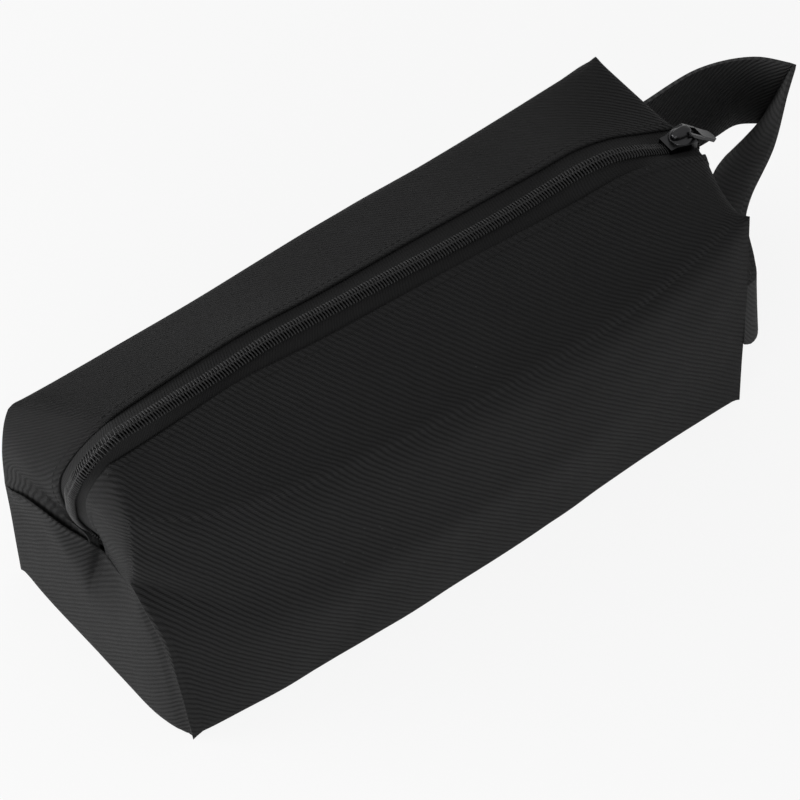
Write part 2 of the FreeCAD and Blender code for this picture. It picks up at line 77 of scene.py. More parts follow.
# Lines of the cloth, each from left to right, from the back to the front or from the base up
CLOTH_LINES = {
    "front_foot": [(-139.2, -53, 0), (-100, -56, 0), (-40, -57.3, 0), (20, -57.5, 0), (80, -54.4, 0),
                   (134.5, -54.2, 0)],
    "back_foot": [(-144.8, 54, 0), (-70, 53.5, 0), (0, 53, 0), (70, 52.5, 0), (138, 52, 0)],
    "left_foot": [(-144.8, 54, 0), (-145.6, 35.7, 0), (-145.3, 17.2, 0), (-144.9, -1.2, 0),
                  (-144.3, -19.6, 0), (-143.2, -38.1, 0), (-139.2, -53, 0)],
    "right_foot": [(138, 52, 0), (139.5, 20, 0), (139, -15, 0), (134.5, -54.2, 0)],
    "left_back_low": [(-144.8, 54, 0), (-146.1, 53.6, 20.5), (-147.6, 52.8, 42.3), (-149.3, 52, 62)],
    "left_back_high": [(-149.3, 52, 62), (-149, 52, 83), (-146.9, 51.2, 101), (-143.6, 51, 109.4)],
    "left_front_form": [(-139.2, -53, 0), (-140.2, -49, 25), (-141, -44, 52), (-141, -36, 67),
                        (-140.5, -27, 85), (-139.5, -17.2, 105)],
    "left_front_low": [(-139.2, -53, 0), (-140, -48.9, 24), (-140.5, -45.6, 39), (-141, -41, 54),
                       (-142.8, -33.4, 65.9), (-144.5, -24.9, 75.3)],
    "left_front_high": [(-144.5, -24.9, 75.3), (-144.1, -24.9, 87.7), (-141.8, -21.5, 95.6),
                        (-139.5, -17.2, 105)],
    "right_back_low": [(138, 52, 0), (139.2, 52, 28), (140, 51.8, 56)],
    "right_back_high": [(140, 51.8, 56), (140.3, 51.5, 85), (140.4, 51, 113.2)],
    "right_front_low": [(134.5, -54.2, 0), (135, -53.1, 24.3), (135.8, -52.2, 54)],
    "right_front_high": [(135.8, -52.2, 54), (136.2, -51.1, 78), (136.6, -49.6, 95), (137, -48.3, 112.6)],
    "back_edge": [(-143.6, 51, 109.4), (-125, 51, 108.6), (-95, 51, 108.2), (-60, 51, 108), (-30, 51, 109.2),
                  (0, 51, 110.2), (40, 51, 109.2), (85, 51, 110), (120, 51, 112), (140.4, 51, 113.2)],
    "shoulder": [(-139.5, -17.2, 105), (-124, -27, 100), (-107, -34, 95), (-67, -43, 93), (-23, -47, 91),
                 (22, -49.5, 89), (62, -51, 90), (97, -51, 96), (122, -50, 105), (137, -48.3, 112.6)],
    "left_seam_back": [(-149.3, 52, 62), (-147.8, 37.7, 69.2), (-144.9, 25.5, 68.2), (-141, 18, 63.6),
                       (-138, 11.1, 61.1), (-135.5, 8.7, 57.3)],
    "left_seam_gap": [(-135.5, 8.7, 57.3), (-135.3, 7.3, 57.1), (-135.2, 5.9, 57)],
    "left_seam_front": [(-135.2, 5.9, 57), (-136.4, 0.7, 58.7), (-139, -9, 63.3), (-144.5, -24.9, 75.3)],
    "right_seam_back": [(140, 51.8, 56), (144, 30, 57.5), (146.5, 7.5, 60)],
    "right_seam_gap": [(146.5, 7.5, 60), (147, -2, 60), (146.5, -11.5, 60)],
    "right_seam_front": [(146.5, -11.5, 60), (143, -29, 58), (135.8, -52.2, 54)],
}

# Hems beside the zipper and the middle of its chain: up the left end, along the top, down the right end
HEMS = {
    "front": {
        "left": [(-135.2, 5.9, 57), (-138.8, 2.9, 71.6), (-141.2, 3.2, 78.8), (-142.6, 4.3, 85),
                 (-143.7, 3.4, 94.8), (-144.2, 1, 102.7), (-141, -1.4, 113), (-135.8, -2.7, 119)],
        "top": [(-135.8, -2.7, 119), (-122, -2.9, 119.8), (-104, -3.4, 121.8), (-78, -4.3, 125.2),
                (-41, -6, 123.8), (-3, -6.8, 122.3), (27, -7.2, 121), (56, -6.9, 118), (86, -6.2, 115),
                (106, -7.4, 116), (124, -9.5, 113.8), (145.8, -11.3, 104.5)],
        "right": [(145.8, -11.3, 104.5), (147.3, -11.4, 98), (147.3, -11.5, 85), (146.5, -11.5, 60)],
    },
    "back": {
        "left": [(-135.5, 8.7, 57.3), (-136.8, 11, 62.9), (-138.9, 14.5, 67), (-141.2, 17.7, 70.9),
                 (-143.4, 19.3, 76.8), (-145, 20, 87.8), (-143.1, 20.9, 94), (-137, 20, 103),
                 (-128.5, 16.2, 115), (-124.3, 14.5, 119.8)],
        "top": [(-124.3, 14.5, 119.8), (-119, 14.4, 121.2), (-95, 14.6, 123.2), (-64, 13.8, 126),
                (-26, 13.1, 124), (12, 13.6, 122), (51, 13.9, 119.7), (80, 14.3, 117.4), (99, 13.6, 117.8),
                (115, 11.8, 115.4), (130, 9.2, 110.3), (145.8, 7.4, 103.5)],
        "right": [(145.8, 7.4, 103.5), (147.3, 7.5, 98), (147.3, 7.5, 85), (146.5, 7.5, 60)],
    },
}
CHAIN = {
    "left": [(-131, 9, 58), (-137, 14.5, 64.6), (-142.1, 13.9, 76.4), (-144.3, 11.6, 87.5),
             (-145.2, 9.8, 96.8), (-145, 7.9, 102.2), (-143.8, 5.4, 110.5), (-140.6, 3.9, 117),
             (-135.2, 2.9, 122.2), (-128.5, 2.8, 124.8)],
    "top": [(-128.5, 2.8, 124.8), (-116, 2.7, 125.2), (-104, 3.4, 124.5), (-80, 3.2, 125.2),
            (-58, 3.4, 126.2), (-24, 2.3, 125), (4, 1.8, 123.4), (30, 1.6, 121.2), (58, 2.5, 118.4),
            (80, 3.3, 117.4), (95, 2.7, 118), (108, 1.5, 117.2), (120, -0.3, 113.6), (133, -1.57, 107),
            (144.67, -1.9, 105.99)],
    "right": [(144.67, -1.9, 105.99), (146.2, -1.95, 105.3), (146.8, -2, 103.6), (146.8, -2, 98),
              (146.8, -2, 62)],
}
# The chain draws apart from this place to its right end
CHAIN_OPENS_AT = -108.0

# Edges of the handle strap, from the front seam to the tip and from there to the back seam
STRAP_TOP = (
    [(135.5, -50.6, 68.5), (141, -49.5, 68.5), (147, -41.5, 68.3), (154, -29.5, 68), (161, -20, 67.8),
     (192, -1, 68), (214, 16.5, 69.5), (226, 25.5, 70)],
    [(226, 25.5, 70), (215.5, 38.5, 70), (195, 48, 69), (164, 50, 65.5), (150, 51, 65), (140.2, 51.3, 65)],
)
STRAP_LOW = (
    [(135.4, -52.3, 34), (139, -52.2, 31.5), (143.5, -50.5, 30.5), (149.5, -43.5, 30), (158, -26, 30),
     (169, 0, 30), (182, 22, 31), (194, 28, 32), (209, 30, 32.5), (218.5, 34, 32.5)],
    [(218.5, 34, 32.5), (209, 40, 32.5), (197, 40, 32.5), (187, 40.5, 32), (165, 46.5, 30.5),
     (150, 50.5, 30), (139.6, 51.9, 30)],
)
STRAP_COLUMNS = (60, 46)
STRAP_ROWS = (0, 0.03, 0.08, 0.2, 0.35, 0.5, 0.65, 0.8, 0.92, 0.97, 1)

# Slider covers as (place along the slider, half width, share of the rise) stations
PLATE_STATIONS = [(-9.6, 0.8, 0.7), (-9.3, 1.9, 0.8), (-8, 3.6, 0.94), (-4.6, 4.9, 1), (-1.2, 3.6, 0.94),
                  (0.1, 1.9, 0.8), (0.4, 0.8, 0.7)]
CROWN_STATIONS = [(-9.2, 0.5, 0.3), (-8.9, 1.2, 0.6), (-7.8, 1.9, 0.86), (-5, 2.25, 1), (-2.2, 2.2, 0.98),
                  (-0.6, 1.7, 0.8), (0.1, 0.6, 0.4)]
PLATE_ARCH = 0.6

CLOTH_NODES = ["base_panel", "front_panel", "back_panel", "left_end_lower", "left_end_upper_front",
               "left_end_upper_back", "right_end_lower", "right_end_upper_front", "right_end_upper_back"]

# Columns and rows of the cloth mesh, and the shares of a panel that some of them take up
COLUMNS = 112
ROWS_LOW, ROWS_HIGH = 28, 26
ACROSS_FRONT, ACROSS_BACK, ACROSS_GAP = 20, 18, 5
LOW_SHARE, HIGH_SHARE = 0.55, 0.45
GAP_START, GAP_SHARE, GAP_END = 0.46, 0.06, 0.52
TOP_LEFT = ROWS_HIGH
TOP_RIGHT = TOP_LEFT + COLUMNS
CURVE_STEPS = 24

# Length of the cut over front, top and back, and the place of each hem on it
CUT_LENGTH = 320
HEM_PLACES = {"top_front": 152, "top_back": 172}

# The hem's lift by row, its turned edge as (out, down) and the layer under it as (row, down)
HEM_LIFTS = ((1, 0.2), (2, 0.25), (3, 0.1))
HEM_TURN = ((-0.3, 0.3), (-0.35, 0.7), (0.0, 1.0))
HEM_UNDER = ((2, 1.2), (4, 1.3))
HEM_SMOOTHING = 10

# Bindings, stitches, tapes and coils; a ring is (place along the stitch, size, lift)
BINDING_DEPTHS = (1.4, 3.0, 5.0, 7.0, 9.0)
BINDING_THICKNESS = 0.0016
STITCH_RINGS = [(-0.5, 0.25, -0.5), (-0.42, 0.8, -0.1), (-0.2, 1.0, 0.25), (0.2, 1.0, 0.25),
                (0.42, 0.8, -0.1), (0.5, 0.25, -0.5)]
STITCH_RADIUS = 0.16
STITCHED = slice(8, -8)
TAPE_SHARES = (0, 0.15, 0.35, 0.55, 0.75, 0.9, 1.0)
TAPE_START, TAPE_DEPTH, TAPE_DIP = 1.0, 1.4, 0.2
TAPE_EDGE = ((2.0, 0.1), (4.0, 0.15))
TAPE_THICKNESS = 0.0006
COIL_STEPS = 12
WIRE_SIDES = 6
SHARP_ANGLE = math.radians(50)

DUST_COLOUR = (0.30, 0.30, 0.29, 1)
GLOSS_CHANGE = (0.16, -0.08)

# Stage, in metres: lamps are (name, place, aim, size, power)
LAMPS = [
    ("left softbox", (-1.2, 0.72, 0.2), (-0.05, 0, 0.06), (0.9, 0.3), 20.5),
    ("top softbox", (0.1, 0.5, 1.6), (0, 0, 0.05), (1.2, 1.0), 0.5),
    ("front softbox", (-0.95, -0.8, 0.3), (0, 0, 0.05), (0.9, 0.45), 7.0),
]
SKY_STRENGTH = 0.4
FLOOR_WHITE = 0.88
FLOOR_HEIGHT = -0.0004
CAMERA_PLACE = (-0.73841, -0.95964, 1.5942)
CAMERA_WAY = (0.37709, 0.4884, -0.78694)
CAMERA_LENS, CAMERA_SENSOR = 225, 36

# Points, point numbers and hem directions of the finished shell, for the pieces that are sewn to it
SHELL = {}


class ToolBagSizes(bpy.types.PropertyGroup):
    """Sizes of the sewn and metal pieces."""
    cloth_thickness: FloatProperty(name="Cloth", description="Thickness of the twill", default=0.0009,
                                   unit="LENGTH")
    rib_spacing: FloatProperty(name="Twill rib", description="Distance between twill ribs", default=0.0019,
                               unit="LENGTH")
    coil_pitch: FloatProperty(name="Coil pitch", description="Distance between coil loops", default=0.00136,
                              unit="LENGTH")
    coil_wire: FloatProperty(name="Coil wire", description="Radius of the coil's monofilament",
                             default=0.00033, unit="LENGTH")
    stitch_length: FloatProperty(name="Stitch", description="Length of one stitch", default=0.0023,
                                 unit="LENGTH")
    stitch_pitch: FloatProperty(name="Stitch pitch", description="Distance from stitch to stitch",
                                default=0.0031, unit="LENGTH")
    stitch_inset: FloatProperty(name="Stitch inset", description="Distance of the stitches from the hem",
                                default=0.0032, unit="LENGTH")
    strap_thickness: FloatProperty(name="Strap", description="Thickness of the folded strap", default=0.0018,
                                   unit="LENGTH")


class ToolBagFinishes(bpy.types.PropertyGroup):
    """Colours of the pieces and the stage."""
    cloth: FloatVectorProperty(name="Cloth", description="Colour of the twill", subtype="COLOR",
                               default=(0.018, 0.018, 0.0183))
    tape: FloatVectorProperty(name="Tape", description="Colour of the zipper tape", subtype="COLOR",
                              default=(0.013, 0.013, 0.0132))
    coil: FloatVectorProperty(name="Coil", description="Colour of the zipper coil", subtype="COLOR",
                              default=(0.010, 0.010, 0.0103))
    thread: FloatVectorProperty(name="Thread", description="Colour of the stitches", subtype="COLOR",
                                default=(0.008, 0.008, 0.008))
    strap: FloatVectorProperty(name="Strap", description="Colour of the handle", subtype="COLOR",
                               default=(0.049, 0.049, 0.0495))
    binding: FloatVectorProperty(name="Binding", description="Colour of the seam binding", subtype="COLOR",
                                 default=(0.012, 0.012, 0.012))
    slider: FloatVectorProperty(name="Slider", description="Colour of the plated slider", subtype="COLOR",
                                default=(0.03, 0.03, 0.031))
    spring: FloatVectorProperty(name="Spring", description="Colour of the locking pawl", subtype="COLOR",
                                default=(0.5, 0.5, 0.5))
    floor: FloatVectorProperty(name="Floor", description="Colour of the studio floor", subtype="COLOR",
                               default=(0.86, 0.86, 0.86))


# Lines

def smooth_line(points):
    """Close row of points on a smooth curve through the given points."""
    p = np.array(points, float)
    p = np.vstack([2 * p[0] - p[1], p, 2 * p[-1] - p[-2]])
    t = np.linspace(0, 1, CURVE_STEPS, endpoint=False)[:, None]
    rows = []
    for a, b, c, d in zip(p, p[1:], p[2:], p[3:]):
        t0, t1, t2 = (max(np.linalg.norm(e), 1e-6) ** 0.5 for e in (b - a, c - b, d - c))
        m1 = t1 * ((b - a) / t0 - (c - a) / (t0 + t1)) + (c - b)
        m2 = t1 * ((d - c) / t2 - (d - b) / (t1 + t2)) + (c - b)
        rows.append((2 * t ** 3 - 3 * t ** 2 + 1) * b + (t ** 3 - 2 * t ** 2 + t) * m1
                    + (3 * t ** 2 - 2 * t ** 3) * c + (t ** 3 - t ** 2) * m2)
    return np.vstack(rows + [p[-2][None]])


def lengths(points):
    """Distance along a row of points."""
    steps = np.linalg.norm(np.diff(points, axis=0), axis=1)
    return np.concatenate([[0], np.cumsum(steps)])


def sample(line, run, at):
    """Points of a line at places along it; run is the place of each of its own points."""
    return np.stack([np.interp(at, run, line[:, k]) for k in range(3)], -1)


def along(points, shares):
    """Points at shares of the length of a smooth curve."""
    line = smooth_line(points)
    run = lengths(line)
    return sample(line, run, shares * run[-1])


def joined(*lines):
    """One line from lines that start where the one before ends."""
    return np.vstack([lines[0]] + [line[1:] for line in lines[1:]])


def unit(rows):
    """Directions scaled to length 1."""
    return rows / np.linalg.norm(rows, axis=-1, keepdims=True)


def square_to(rows, ahead):
    """Directions turned square to unit directions ahead, with length 1."""
    return unit(rows - ahead * np.sum(rows * ahead, axis=-1, keepdims=True))


def outward(rows, places):
    """Directions turned round where they point into the bag."""
    return rows * np.sign(np.sum(rows * (places - BAG_MIDDLE), axis=1, keepdims=True))


def gauss(value, centre, width):
    """Soft bump of height 1."""
    return np.exp(-((value - centre) / width) ** 2)


def step(value, low, high):
    """Smooth step from 0 to 1."""
    t = np.clip((value - low) / (high - low), 0, 1)
    return t * t * (3 - 2 * t)


def between(value, low, high):
    """Smooth rise over the span low and fall over the span high."""
    return step(value, *low) * (1 - step(value, *high))


def spread(count, length, start=(1.2, 3.0), end=(1.2, 3.0)):
    """Shares of a length from 0 to 1, with rows at set distances from both ends."""
    low = [s / length for s in start]
    high = [1 - s / length for s in end]
    first = low[-1] if low else 0
    last = high[-1] if high else 1
    middle = np.linspace(first, last, count + 1 - len(low) - len(high))
    return np.array([0] * bool(low) + low[:-1] + list(middle) + high[:-1][::-1] + [1] * bool(high))


LENGTHWISE = spread(COLUMNS, length=280)
LOW = spread(ROWS_LOW, length=62, end=(1.0, 2.2, 3.6, 5.2, 7.0, 9.0, 11.2, 13.6, 16.2, 19.0, 22.0))
HIGH = spread(ROWS_HIGH, length=50, end=())
WALL = np.concatenate([LOW_SHARE * LOW, LOW_SHARE + HIGH_SHARE * HIGH[1:]])
FRONTWISE = spread(ACROSS_FRONT, length=44, start=(0.8, 1.8, 3.2, 5.0))
BACKWISE = spread(ACROSS_BACK, length=38, start=(0.8, 1.8, 3.2, 5.0))
GAPWISE = np.linspace(0, 1, ACROSS_GAP + 1)
DEPTHWISE = np.concatenate([GAP_START * (1 - BACKWISE[::-1]), GAP_START + GAP_SHARE * GAPWISE[1:],
                            GAP_END + (1 - GAP_END) * FRONTWISE[1:]])


def coons(bottom, top, left, right, u, v, reach=None):
    """Surface that fills four edge lines; bottom and top run with u, left and right with v.

    The shapes of the left and right edges carry on across it, or fade within a reach.
    """
    u, v = u[None, :, None], v[:, None, None]
    ruled = (1 - v) * bottom[None] + v * top[None]
    near, far = (1 - u, u) if reach is None else (gauss(u, 0, reach), gauss(u, 1, reach))
    grid = ruled + near * (left[:, None] - ruled[:, :1]) + far * (right[:, None] - ruled[:, -1:])
    grid[0], grid[-1] = bottom, top
    grid[:, 0], grid[:, -1] = left, right
    return grid


# Meshes

def cells(rows, columns):
    """Corners of each cell of a grid as (row, column) pairs."""
    for i in range(rows - 1):
        for j in range(columns - 1):
            yield (i, j), (i, j + 1), (i + 1, j + 1), (i + 1, j)


class Sewn:
    """Collects grids of points and joins them where their edges meet."""

    def __init__(self):
        self.points = []
        self.known = {}
        self.faces = []
        self.weave = []

    def add(self, grid, u, v):
        """Adds one grid with its place on the cut cloth and returns its point numbers."""
        size = grid.shape[:2]
        index = np.zeros(size, int)
        for c in np.ndindex(size):
            key = tuple(np.round(grid[c], 3) + 0.0)
            if key not in self.known:
                self.known[key] = len(self.points)
                self.points.append(grid[c])
            index[c] = self.known[key]
        for corners in cells(*size):
            face = [index[c] for c in corners]
            if len(set(face)) == len(face):
                self.faces.append(face)
                self.weave.append([(u[c] * MM, v[c] * MM) for c in corners])
        return index


def vertex_normals(points, faces):
    """Unit normals of a quad mesh at its points."""
    q = points[faces]
    face = np.cross(q[:, 2] - q[:, 0], q[:, 3] - q[:, 1])
    normals = np.zeros_like(points)
    for k in range(4):
        np.add.at(normals, faces[:, k], face)
    return normals / np.maximum(np.linalg.norm(normals, axis=1, keepdims=True), 1e-9)


def nearest(points, lines):
    """Distance of each point from the nearest of some rows of points, taken in blocks to save memory."""
    target = np.vstack(lines)
    block = 200
    best = np.full(len(points), np.inf)
    for start in range(0, len(target), block):
        gap = np.linalg.norm(points[:, None] - target[None, start:start + block], axis=2)
        best = np.minimum(best, gap.min(axis=1))
    return best


def near_to(points, lines, reach):
    """1 on some lines, fading with the distance from them."""
    return gauss(nearest(points, lines), 0, reach)


def relax(points, faces, weight, rounds):
    """Evens out the points of a mesh by their weights."""
    pairs = np.vstack([faces[:, [k, (k + 1) % 4]] for k in range(4)])
    pairs = np.unique(np.sort(pairs, axis=1), axis=0)
    count = np.zeros(len(points))
    np.add.at(count, pairs[:, 0], 1)
    np.add.at(count, pairs[:, 1], 1)
    for _ in range(rounds):
        total = np.zeros_like(points)
        np.add.at(total, pairs[:, 0], points[pairs[:, 1]])
        np.add.at(total, pairs[:, 1], points[pairs[:, 0]])
        points = points + weight[:, None] * (total / count[:, None] - points)
    return points


def make_mesh(name, points, faces, weave=None):
    """Smooth object from millimetre points and faces, with the place of each face corner on the cloth."""
    mesh = bpy.data.meshes.new(name)
    corners = [tuple(p * MM) for p in np.asarray(points, float)]
    mesh.from_pydata(corners, [], [list(map(int, face)) for face in faces])
    if weave is not None:
        layer = mesh.uv_layers.new(name="weave")
        layer.data.foreach_set("uv", np.array([c for face in weave for c in face], np.float32).ravel())
    mesh.update()
    mesh.shade_smooth()
    piece = bpy.data.objects.new(name, mesh)
    bpy.context.collection.objects.link(piece)
    return piece


def thicken(piece, thickness, offset):
    """Gives a sheet its thickness: inward from it at an offset of -1, and to both sides at 0."""
    modifier = piece.modifiers.new("Solidify", "SOLIDIFY")
    modifier.thickness = thickness
    modifier.offset = offset
    modifier.use_rim = True
    bpy.context.view_layer.update()
    graph = bpy.context.evaluated_depsgraph_get()
    mesh = bpy.data.meshes.new_from_object(piece.evaluated_get(graph))
    sheet = piece.data
    piece.modifiers.clear()
    piece.data = mesh
    bpy.data.meshes.remove(sheet)
    mesh.name = piece.name


def face_out(piece):
    """Turns all faces the same way, outward."""
    mesh = bmesh.new()
    mesh.from_mesh(piece.data)
    bmesh.ops.recalc_face_normals(mesh, faces=mesh.faces)
    lowest = min(mesh.faces, key=lambda f: f.calc_center_median().z)
    if lowest.normal.z > 0:
        bmesh.ops.reverse_faces(mesh, faces=mesh.faces)
    mesh.to_mesh(piece.data)
    mesh.free()


def ring_faces(rings, sides, start=0):
    """Faces of a closed tube whose points lie ring by ring from a start number."""
    faces = []
    for first in range(start, start + (rings - 1) * sides, sides):
        for k in range(sides):
            a, b = first + k, first + (k + 1) % sides
            faces.append((a, b, b + sides, a + sides))
    end = start + rings * sides
    faces.append(tuple(range(start, start + sides))[::-1])
    faces.append(tuple(range(end - sides, end)))
    return faces


def tube(line, radii, sides):
    """Points and faces of a round wire along a row of points."""
    tangents = unit(np.gradient(line, axis=0))
    turns = np.linspace(0, FULL_TURN, sides, endpoint=False)
    askew = (0.3, 0.5, 0.8)
    side = np.cross(tangents[0], askew)
    points = []
    for place, radius, ahead in zip(line, radii, tangents):
        side = square_to(side, ahead)
        top = np.cross(ahead, side)
        points += [place + radius * (math.cos(a) * side + math.sin(a) * top) for a in turns]
    return np.array(points), ring_faces(len(line), sides)


def strip_mesh(name, rows, thickness, run=None):
    """Closed thin strip from rows of points along it; run is the place of its columns on the tape."""
    rows = np.array(rows)
    count, size = rows.shape[:2]
    run = np.mean([lengths(r) for r in rows], axis=0) if run is None else run
    across = np.array([lengths(rows[:, j]) for j in range(size)]).T
    faces = [[i * size + j for i, j in corners] for corners in cells(count, size)]
    weave = [[(run[j] * MM, across[i, j] * MM) for i, j in corners] for corners in cells(count, size)]
    piece = make_mesh(name, rows.reshape(-1, 3), faces, weave)
    thicken(piece, thickness, offset=0.0)
    piece.data.set_sharp_from_angle(angle=SHARP_ANGLE)
    return piece


def finish_piece(piece, material, body=None, replaces=()):
    """Gives a piece its material and slot and ties it to a body."""
    piece.data.materials.clear()
    piece.data.materials.append(material)
    if body:
        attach(piece, body)
    if replaces:
        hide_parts(*replaces)


# Finishes

def feed(tree, socket, value):
    """Links another node's output to a socket, or sets a number or colour on it."""
    if isinstance(value, bpy.types.NodeSocket):
        tree.links.new(value, socket)
    else:
        socket.default_value = value


def feed_all(tree, node, values):
    """Feeds inputs of a node by name."""
    for name, value in values.items():
        feed(tree, node.inputs[name], value)


def math_node(tree, operation, *values):
    """Math node fed by sockets or numbers; returns its output."""
    node = tree.nodes.new("ShaderNodeMath")
    node.operation = operation
    for socket, value in zip(node.inputs, values):
        feed(tree, socket, value)
    return node.outputs[0]


def noise_node(tree, place, scale, detail):
    """Noise value of about 0 to 1 at a place."""
    node = tree.nodes.new("ShaderNodeTexNoise")
    feed_all(tree, node, {"Vector": place, "Scale": scale, "Detail": detail, "Roughness": 0.55})
    return node.outputs[0]


def mix_colours(tree, blend, factor, a, b):
    """Mix of two colours; returns its output."""
    node = tree.nodes.new("ShaderNodeMix")
    node.data_type = "RGBA"
    node.blend_type = blend
    feed_all(tree, node, {"Factor": factor, "A": a, "B": b})
    return node.outputs["Result"]


def bump_node(tree, height, distance):
    """Normals of a surface with a height over it."""
    node = tree.nodes.new("ShaderNodeBump")
    feed_all(tree, node, {"Strength": 1.0, "Distance": distance, "Height": height})
    return node.outputs[0]


def twill_ribs(group, calc, given):
    """Diagonal ribs of a twill or webbing with the threads that cross them: their height, and a shade factor
    that is painted shade in the grooves between the ribs times the random tone of fibres and patches.
    """
    cloth = given["Cloth"]
    split = group.nodes.new("ShaderNodeSeparateXYZ")
    group.links.new(cloth, split.inputs[0])
    u, v = split.outputs[0], split.outputs[1]
    slanted = calc("ADD", u, calc("MULTIPLY", v, given["Slant"]))
    across = calc("MULTIPLY", slanted, math.sqrt(0.5))
    sway = calc("SUBTRACT", noise_node(group, cloth, scale=90.0, detail=2.0), 0.5)
    sway_width = 0.0011
    phase = calc("DIVIDE", calc("ADD", across, calc("MULTIPLY", sway, sway_width)), given["Rib"])
    wave = calc("SINE", calc("MULTIPLY", phase, FULL_TURN))
    roundness = 0.7
    rib = calc("POWER", calc("MULTIPLY_ADD", wave, 0.5, 0.5), roundness)
    thread = calc("SINE", calc("DIVIDE", calc("MULTIPLY", v, FULL_TURN), given["Thread"]))
    fibre = noise_node(group, cloth, scale=2600.0, detail=2.0)
    patch = noise_node(group, cloth, scale=24.0, detail=4.0)
    rib_part, thread_part, fibre_part = 0.75, 0.14, 0.35
    fine = calc("MULTIPLY_ADD", thread, thread_part, calc("MULTIPLY", fibre, fibre_part))
    height = calc("ADD", calc("MULTIPLY", rib, rib_part), fine)
    # The rib factor is painted shade, darker in the grooves between the ribs; the fibre and patch factors are
    # the cloth's random tone.
    rib_shade_and_tone = []
    for value, contrast, least in ((rib, 0.45, 0.57), (fibre, 0.5, 0.72), (patch, 0.3, 0.86)):
        rib_shade_and_tone.append(calc("MULTIPLY_ADD", value, contrast, least))
    return height, calc("MULTIPLY", calc("MULTIPLY", rib_shade_and_tone[0], rib_shade_and_tone[1]), rib_shade_and_tone[2])


def lint_specks(group, calc, given):
    """Sparse dust and lint caught in dark cloth, and the uneven gloss that goes with it."""
    specks = group.nodes.new("ShaderNodeTexVoronoi")
    feed_all(group, specks, {"Vector": given["Place"], "Scale": 210.0})
    clouds = noise_node(group, given["Place"], scale=32.0, detail=5.0)
    speck_size, dusty_from, haze_from, haze_part = 0.07, 0.6, 0.5, 0.35
    speck = calc("LESS_THAN", specks.outputs["Distance"], speck_size)
    dust = calc("MULTIPLY", speck, calc("GREATER_THAN", clouds, dusty_from))
    haze = calc("MAXIMUM", calc("SUBTRACT", clouds, haze_from), 0.0)
    dust = calc("ADD", dust, calc("MULTIPLY", haze, haze_part))
    return calc("MULTIPLY", dust, given["Amount"]), calc("MULTIPLY_ADD", clouds, *GLOSS_CHANGE)


def fine_grain(group, calc, given):
    """Fine grain of plastic, thread or metal: its height, the shade of its worn patches and uneven gloss."""
    patch_scale = 0.12
    grain = noise_node(group, given["Place"], scale=given["Scale"], detail=4.0)
    wide = calc("MULTIPLY", given["Scale"], patch_scale)
    patch = noise_node(group, given["Place"], scale=wide, detail=3.0)
    least = calc("MULTIPLY_ADD", given["Wear"], -0.5, 1.0)
    shade = calc("MULTIPLY_ADD", patch, given["Wear"], least)
    return grain, shade, calc("MULTIPLY_ADD", grain, *GLOSS_CHANGE)


# Shared node groups: inputs with their defaults, None for a vector, then outputs and the maker of the nodes
GROUPS = {
    "Twill ribs": ({"Cloth": None, "Rib": 0.0019, "Thread": 0.00055, "Slant": 1.0}, ["Height", "Shade"],
                   twill_ribs),
    "Lint": ({"Place": None, "Amount": 0.3}, ["Dust", "Gloss"], lint_specks),
    "Grain": ({"Place": None, "Scale": 1000.0, "Wear": 0.3}, ["Height", "Shade", "Gloss"], fine_grain),
}


def build_group(name, inputs, outputs, maker):
    """Shader node group with named inputs and float outputs."""
    group = bpy.data.node_groups.new(name, "ShaderNodeTree")
    for label, value in inputs.items():
        kind = "NodeSocketVector" if value is None else "NodeSocketFloat"
        socket = group.interface.new_socket(name=label, in_out="INPUT", socket_type=kind)
        if value is not None:
            socket.default_value = value
    for label in outputs:
        group.interface.new_socket(name=label, in_out="OUTPUT", socket_type="NodeSocketFloat")
    given = group.nodes.new("NodeGroupInput").outputs
    results = maker(group, partial(math_node, group), given)
    feed_all(group, group.nodes.new("NodeGroupOutput"), dict(zip(outputs, results)))
    return group


def use_group(tree, name, **values):
    """Places a node group, which is built at its first use, and returns its outputs."""
    node = tree.nodes.new("ShaderNodeGroup")
    node.node_tree = bpy.data.node_groups.get(name) or build_group(name, *GROUPS[name])
    feed_all(tree, node, values)
    return node.outputs


def new_material(name):
    """Node material with only its shader and output."""
    material = bpy.data.materials.new(name)
    material.use_nodes = True
    tree = material.node_tree
    tree.nodes.clear()
    shader = tree.nodes.new("ShaderNodeBsdfPrincipled")
    output = tree.nodes.new("ShaderNodeOutputMaterial")
    tree.links.new(shader.outputs[0], output.inputs["Surface"])
    return material, tree, shader


def woven_material(name, colour, rib, thread, slant, depth, rough, dust):
    """Matt woven cloth, tape or webbing with ribs that follow its cut."""
    material, tree, shader = new_material(name)
    cut = tree.nodes.new("ShaderNodeUVMap")
    cut.uv_map = "weave"
    place = tree.nodes.new("ShaderNodeTexCoord").outputs["Object"]
    ribs = use_group(tree, "Twill ribs", Cloth=cut.outputs[0], Rib=rib, Thread=thread, Slant=slant)
    lint = use_group(tree, "Lint", Place=place, Amount=dust)
    # Multiplying by the rib shade paints shade into the grooves of the weave, over the cloth's own colour and
    # random tone.
    woven = mix_colours(tree, "MULTIPLY", 1.0, (*colour, 1), ribs["Shade"])
    feed_all(tree, shader, {
        "Base Color": mix_colours(tree, "MIX", lint["Dust"], woven, DUST_COLOUR),
        "Roughness": math_node(tree, "ADD", lint["Gloss"], rough),
        "Normal": bump_node(tree, ribs["Height"], depth),
        "Specular IOR Level": 0.14,
    })
    return material


